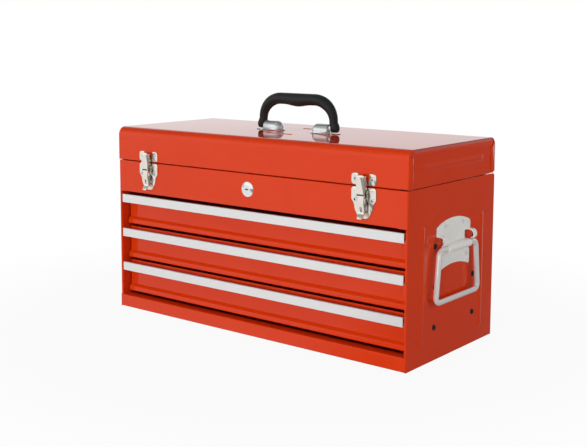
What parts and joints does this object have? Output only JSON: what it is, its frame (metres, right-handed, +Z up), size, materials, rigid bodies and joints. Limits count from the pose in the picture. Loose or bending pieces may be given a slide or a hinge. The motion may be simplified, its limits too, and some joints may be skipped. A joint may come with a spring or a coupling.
{
  "type": "portable tool box",
  "caption": "Sheet-steel tool box with drawers under a lidded till, draw latches, a cam lock, a folding carry handle and swinging side handles.",
  "frame": {"origin": "on the floor, under the middle of the body", "axes": "+X along the width to the right as seen from the front, +Y to the back, +Z up"},
  "size_m": [0.5338, 0.235, 0.3296],
  "materials": {
    "red_paint": "glossy baked enamel",
    "grey_steel": "bare rolled steel, lightly oiled",
    "satin_aluminium": "satin anodised",
    "nickel_plate": "nickel plated, slightly warm",
    "zinc_plate": "bright zinc plate",
    "bright_wire": "bright plated wire",
    "black_rivet": "black, semi-gloss",
    "grip_black": "moulded, fine satin grain",
    "brass": "turned"
  },
  "bodies": {
    "cabinet": {"left_side_panel": "red_paint", "right_side_panel": "red_paint", "back_panel": "red_paint", "bottom_panel": "red_paint", "front_panel": "red_paint", "till_floor": "red_paint", "slide_rail_top_left": "grey_steel", "slide_rail_top_right": "grey_steel", "slide_rail_middle_left": "grey_steel", "slide_rail_middle_right": "grey_steel", "slide_rail_bottom_left": "grey_steel", "slide_rail_bottom_right": "grey_steel", "slide_rivets": "black_rivet", "latch_base_left": "nickel_plate", "latch_base_right": "nickel_plate", "latch_rivets": "zinc_plate", "lever_pins": "nickel_plate", "lock_housing": "zinc_plate", "lock_nut": "brass", "side_plate_left": "zinc_plate", "side_plate_right": "zinc_plate", "side_plate_rivets": "zinc_plate", "body_hinge_leaf": "zinc_plate", "hinge_pin": "zinc_plate"},
    "lid": {"lid_shell": "red_paint", "left_lid_end": "red_paint", "right_lid_end": "red_paint", "lid_hinge_leaf": "zinc_plate", "strike_left": "nickel_plate", "strike_right": "nickel_plate", "strike_rivets": "zinc_plate", "lock_catch": "zinc_plate", "handle_bracket_left": "zinc_plate", "handle_bracket_right": "zinc_plate"},
    "carry_handle": {"handle_grip": "grip_black", "handle_pins": "zinc_plate"},
    "lever_left": {"latch_lever_left": "nickel_plate"},
    "lever_right": {"latch_lever_right": "nickel_plate"},
    "claw_left": {"latch_claw_left": "nickel_plate", "claw_pin_left": "nickel_plate"},
    "claw_right": {"latch_claw_right": "nickel_plate", "claw_pin_right": "nickel_plate"},
    "lock": {"lock_plug": "zinc_plate", "lock_cam": "zinc_plate"},
    "bail_left": {"bail_left": "bright_wire"},
    "bail_right": {"bail_right": "bright_wire"},
    "drawer_top": {"drawer_front_top": "red_paint", "drawer_tray_top": "red_paint", "drawer_pull_top": "satin_aluminium", "drawer_runners_top": "grey_steel"},
    "drawer_middle": {"drawer_front_middle": "red_paint", "drawer_tray_middle": "red_paint", "drawer_pull_middle": "satin_aluminium", "drawer_runners_middle": "grey_steel"},
    "drawer_bottom": {"drawer_front_bottom": "red_paint", "drawer_tray_bottom": "red_paint", "drawer_pull_bottom": "satin_aluminium", "drawer_runners_bottom": "grey_steel"}
  },
  "joints": [
    {"name": "lid_hinge", "type": "hinge", "parent": "cabinet", "child": "lid", "pos_m": [0, 0.1111, 0.2257], "axis": [-1, 0, 0], "range_deg": [0, 100]},
    {"name": "handle_pivot", "type": "hinge", "parent": "lid", "child": "carry_handle", "pos_m": [0, 0, 0.283], "axis": [-1, 0, 0], "range_deg": [-80, 80]},
    {"name": "drawer_top_slide", "type": "slide", "parent": "cabinet", "child": "drawer_top", "axis": [0, -1, 0], "range_m": [0, 0.165]},
    {"name": "drawer_middle_slide", "type": "slide", "parent": "cabinet", "child": "drawer_middle", "axis": [0, -1, 0], "range_m": [0, 0.165]},
    {"name": "drawer_bottom_slide", "type": "slide", "parent": "cabinet", "child": "drawer_bottom", "axis": [0, -1, 0], "range_m": [0, 0.165]},
    {"name": "latch_lever_left", "type": "hinge", "parent": "cabinet", "child": "lever_left", "pos_m": [-0.1902, -0.1145, 0.2145], "axis": [-1, 0, 0], "range_deg": [0, 106]},
    {"name": "latch_claw_left", "type": "hinge", "parent": "lever_left", "child": "claw_left", "pos_m": [-0.1902, -0.1158, 0.205], "axis": [-1, 0, 0], "range_deg": [-127.2, 0]},
    {"name": "latch_lever_right", "type": "hinge", "parent": "cabinet", "child": "lever_right", "pos_m": [0.1902, -0.1145, 0.2145], "axis": [-1, 0, 0], "range_deg": [0, 106]},
    {"name": "latch_claw_right", "type": "hinge", "parent": "lever_right", "child": "claw_right", "pos_m": [0.1902, -0.1158, 0.205], "axis": [-1, 0, 0], "range_deg": [-127.2, 0]},
    {"name": "lock_turn", "type": "hinge", "parent": "cabinet", "child": "lock", "pos_m": [0, -0.095, 0.204], "axis": [0, -1, 0], "range_deg": [0, 90]},
    {"name": "bail_left_swing", "type": "hinge", "parent": "cabinet", "child": "bail_left", "pos_m": [-0.2616, 0, 0.143], "axis": [0, 1, 0], "range_deg": [-1.5, 90]},
    {"name": "bail_right_swing", "type": "hinge", "parent": "cabinet", "child": "bail_right", "pos_m": [0.2616, 0, 0.143], "axis": [0, -1, 0], "range_deg": [-1.5, 90]}
  ],
  "couplings": [
    {"joint": "latch_claw_left", "follows": "latch_lever_left", "ratio": -1.2},
    {"joint": "latch_claw_right", "follows": "latch_lever_right", "ratio": -1.2}
  ]
}
